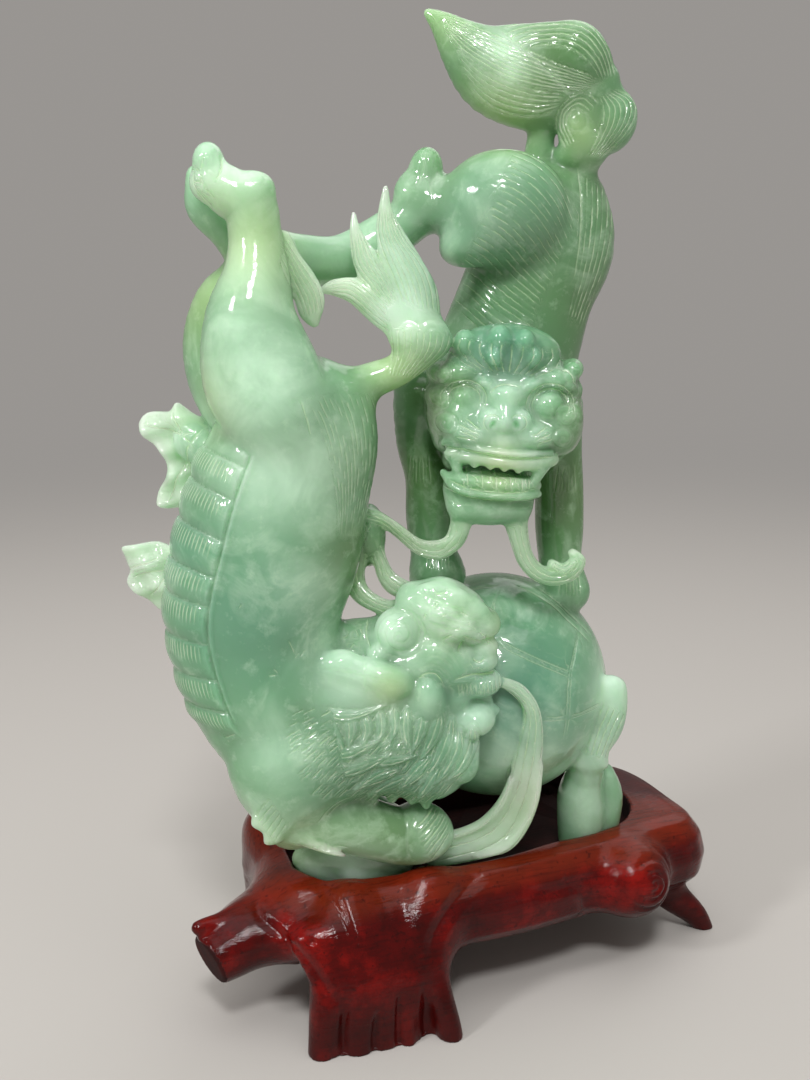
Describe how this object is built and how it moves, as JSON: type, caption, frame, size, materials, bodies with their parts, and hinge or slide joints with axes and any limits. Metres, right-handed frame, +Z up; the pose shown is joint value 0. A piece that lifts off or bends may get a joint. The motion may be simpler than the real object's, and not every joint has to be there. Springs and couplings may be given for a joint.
{
  "type": "jade foo dog carving",
  "caption": "Carved green jade group of foo dogs tumbling round a brocade ball, held up in a lacquered root-shaped wood stand.",
  "frame": {"origin": "centre of the bounding box's underside, on the surface that the stand's feet rest on", "axes": "+Z up, +X along the stand to the right seen from the front, +Y to the back; the jade's best side is turned 24 degrees towards -X"},
  "size_m": [0.1683, 0.0799, 0.2619],
  "materials": {
    "jade": "polished translucent green jade, milky clouds inside, yellow-green where thin",
    "lacquered_wood": "glossy dark red lacquer over carved hardwood, orange-brown on the rim"
  },
  "bodies": {
    "root": {"jade_carving": "jade", "wood_stand": "lacquered_wood"}
  },
  "joints": []
}
